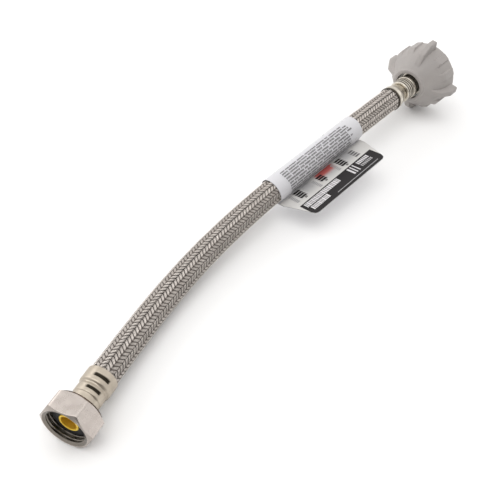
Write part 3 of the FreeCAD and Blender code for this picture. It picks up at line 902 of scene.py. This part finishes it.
def label(place, material):
    section = label_section()
    steps = 111
    vertices, tints = [], []
    for ring in range(steps + 1):
        distance = LABEL_LENGTH * ring / steps
        limit = flag_edge(distance)
        for across, height in section:
            vertices.append((max(across, -limit) * MM, height * MM, distance * MM))
            on_top = FLAG_BOTTOM + 0.01 < height < FLAG_TOP + 0.2 and across < CREASE + 0.1
            tint = flag_tint(across, distance) if on_top else SLEEVE_TINT
            tints.extend((*tint, 1.0))
    faces = []
    count = len(section)
    for ring in range(steps):
        for corner in range(count - 1):
            low = ring * count + corner
            faces.append((low, low + 1, low + count + 1, low + count))
    piece = add_mesh("label_film", vertices, faces, material, place, sharp_degrees=60.0)
    piece.data.attributes.new("tint", "FLOAT_COLOR", "POINT").data.foreach_set("color", tints)
    solid = piece.modifiers.new("thickness", "SOLIDIFY")
    solid.thickness = FILM_THICKNESS * MM
    solid.offset = 1.0
    return piece


class Print:
    """Blocks of ink laid just proud of the film, in the label's frame."""

    def __init__(self):
        self.vertices = []
        self.faces = []
        self.slots = []

    def block(self, corners, slot):
        start = len(self.vertices)
        self.vertices.extend(tuple(c * MM for c in corner) for corner in corners)
        self.faces.append(tuple(range(start, start + len(corners))))
        self.slots.append(slot)

    def on_flag(self, out, width, distance, length, slot, slant=0.0, lift=0.0):
        """A block from out to out + width away from the hose, from distance along the label."""
        height = FLAG_TOP + MARK_LIFT + lift
        self.block([
            (-out, height, distance), (-out, height, distance + length),
            (-out - width, height, distance + length + slant),
            (-out - width, height, distance + slant)], slot)

    def on_sleeve(self, angle, width, distance, length, slot):
        reach = LABEL_RADIUS + SLEEVE_PRINT_LIFT
        turn = width / reach
        low = (math.cos(angle) * reach, math.sin(angle) * reach)
        high = (math.cos(angle + turn) * reach, math.sin(angle + turn) * reach)
        self.block([
            (*low, distance), (*high, distance), (*high, distance + length),
            (*low, distance + length)], slot)

    def build(self, place, materials):
        piece = add_mesh("label_print", self.vertices, self.faces, materials[0], place)
        for material in materials[1:]:
            piece.data.materials.append(material)
        piece.data.polygons.foreach_set("material_index", self.slots)
        return piece


BLACK, GREY, WHITE, SOFT_GREY = range(4)


def bar_line(start, end, low, high, gap, draw):
    """A row of short bars with gaps, as a line of small print looks from afar."""
    place = start
    while place < end:
        length = min(random.uniform(low, high), end - place)
        draw(place, length)
        place += length + random.uniform(0.5, 1.4) * gap


def sleeve_print(sheet):
    """Rows of small greeked print along the sleeve."""
    for row in range(13):
        angle = math.radians(92.0 + 12.3 * row)
        start = random.uniform(7.5, 9.0) + (5.0 if row > 9 else 0.0)
        end = random.choice((60.0, 62.5, 64.0)) - (4.0 if row > 8 else 0.0)

        def small_bars(distance, length, angle=angle):
            for bar in range(max(1, round(length / 0.5))):
                sheet.on_sleeve(angle, random.uniform(0.75, 1.1), distance + bar * 0.5, 0.38, GREY)

        bar_line(start, end, 2.5, 7.0, 0.7, small_bars)


def size_marks(sheet):
    """Groups of heavy slanted bars where the sizes stand, each with a row of light ones under it."""
    for distance, out, count in ((10.2, 4.9, 4), (27.6, 6.6, 3), (44.8, 5.7, 4)):
        for mark in range(count):
            sheet.on_flag(out + 1.9 * mark, 1.45, distance, 4.7, BLACK, slant=0.8)
        for mark in range(2):
            sheet.on_flag(out + 1.9 * count + 0.75 * mark, 0.45, distance + 2.4, 1.7, BLACK)
        for mark in range(7):
            sheet.on_flag(out + 0.5 + 1.1 * mark, 0.75, distance - 3.6, 2.1, SOFT_GREY)
    for mark in range(4):
        sheet.on_flag(7.0 + 1.9 * mark, 1.2, 56.0, 3.6, GREY, slant=0.5)


def outer_band(sheet):
    """The flag's dark outer band with its pale bars and thin line."""
    rings = 61
    for ring in range(rings):
        low = FLAG_START + (FLAG_END - FLAG_START) * ring / rings
        high = FLAG_START + (FLAG_END - FLAG_START) * (ring + 1) / rings
        height = FLAG_TOP + BAND_LIFT
        sheet.block([
            (BAND_START, height, low), (BAND_START, height, high),
            (-flag_edge(high) + 0.02, height, high), (-flag_edge(low) + 0.02, height, low)], BLACK)
    for out, width, start, end in ((16.8, 3.8, 7.0, 34.0), (21.3, 3.4, 8.0, 21.5)):
        distance = start
        while distance < end:
            length = random.choice((0.7, 0.7, 1.0, 1.2))
            sheet.on_flag(out, width, distance, length, WHITE, lift=WHITE_LIFT)
            distance += length + (0.32 if random.random() < 0.85 else 1.3)
    for distance, length in ((43.6, 1.3), (46.0, 0.8), (48.2, 0.8)):
        sheet.on_flag(16.9, 6.6, distance, length, WHITE, lift=WHITE_LIFT)
    for bar in range(7):
        sheet.on_flag(17.1, 2.8, 51.6 + 1.35 * bar, 0.9, WHITE, lift=WHITE_LIFT)
        sheet.on_flag(20.7, 2.1, 51.6 + 1.35 * bar, 0.95, SOFT_GREY, lift=WHITE_LIFT)
    sheet.on_flag(25.6, 0.45, 26.0, 35.5, SOFT_GREY, lift=WHITE_LIFT)


# ---------------------------------------------------------------- assembly

def show(piece, body, slot, *nodes):
    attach(piece, body)
    if nodes:
        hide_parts(*nodes)
    return piece


make_camera()
line = Line(route_line())
wire = wire_metal()
braid_pieces = braid(line, wire)
core = tube_along("hose_liner", line, LINER_BORE, YARN_BORE, rubber("liner_rubber", (0.03, 0.028, 0.026)))
yarn_rubber = rubber("yarn_dark", (0.085, 0.076, 0.068))
yarn = tube_along("hose_yarn", line, YARN_BORE, YARN_RADIUS, yarn_rubber)

make_studio()
make_floor()

inlet_frame = fitting_place(INLET_MOUTH, INLET_HEADING, INLET_TILT)
tank_frame = fitting_place(TANK_MOUTH, TANK_HEADING)
tank_nut_frame = fitting_place(TANK_MOUTH, TANK_HEADING, spin=TANK_NUT_SPIN)
label_frame = label_place()

nickel = plated_metal("nickel_plate", (0.60, 0.545, 0.505), (0.53, 0.475, 0.44), (0.09, 0.08, 0.06))
pressed = plated_metal("ferrule_steel", (0.54, 0.48, 0.40), (0.46, 0.405, 0.335), (0.03, 0.025, 0.018),
                       0.34, 0.5)
brass = plated_metal("turned_brass", (0.90, 0.64, 0.07), (0.80, 0.53, 0.05), (0.35, 0.2, 0.03),
                     0.34, 0.5, 0.6)
plated_stem = plated_metal("stem_plate", (0.68, 0.635, 0.56), (0.58, 0.54, 0.47), (0.05, 0.04, 0.03))
seal = rubber("seal_rubber", (0.012, 0.012, 0.012))
grey_plastic = moulded_plastic("nut_plastic", (0.40, 0.373, 0.355), (0.345, 0.322, 0.31))
ring_plastic = moulded_plastic("ring_plastic", (0.75, 0.75, 0.72), (0.68, 0.68, 0.66))

show(inlet_nut(inlet_frame, nickel), "inlet_coupling", "plated_nut", "inlet_nut")
show(inlet_stem(inlet_frame, brass), "hose", "brass_stem", "inlet_stem")
show(turned("inlet_washer_rubber", divided(rounded(tube_outline(5.0, 9.2, 4.2, 6.7), 0.3), 0.6),
            inlet_frame, seal), "hose", "black_rubber", "inlet_washer")
show(inlet_ferrule(inlet_frame, pressed), "hose", "ferrule_steel", "inlet_ferrule")

show(tank_nut(tank_nut_frame, grey_plastic), "tank_coupling", "grey_plastic", "tank_nut")
show(tank_stem(tank_frame, plated_stem), "hose", "plated_stem", "tank_stem")
show(turned("tank_cone_rubber", divided(rounded([
    (6.3, 10.5), (7.6, 10.5), (9.7, 15.5), (9.7, 17.1), (6.3, 17.1)], 0.3), 0.6),
            tank_frame, seal), "hose", "black_rubber", "tank_cone_washer")
show(turned("tank_slip_ring", divided(rounded(tube_outline(7.6, 9.7, 19.1, 19.9), 0.15), 0.6),
            tank_frame, ring_plastic), "slip_ring", "white_plastic", "tank_friction_ring")
show(tank_ferrule(tank_frame, plated_stem), "hose", "ferrule_steel", "tank_ferrule")

show(core, "hose", "liner_rubber", "liner_tube")
show(yarn, "hose", "yarn", "yarn_layer")
for index, piece in enumerate(braid_pieces):
    show(piece, "hose", "braid_steel", *(("braid_sleeve",) if index == 0 else ()))

film_piece = show(label(label_frame, film()), "label", "label_film", "label_wrap")
print_sheet = Print()
sleeve_print(print_sheet)
size_marks(print_sheet)
outer_band(print_sheet)
inks = [ink("ink_black", (0.018, 0.016, 0.017)), ink("ink_grey", (0.13, 0.127, 0.13)),
        ink("ink_white", (0.58, 0.57, 0.58)), ink("ink_soft_grey", (0.33, 0.325, 0.33))]
print_piece = show(print_sheet.build(label_frame, inks), "label", "label_film")
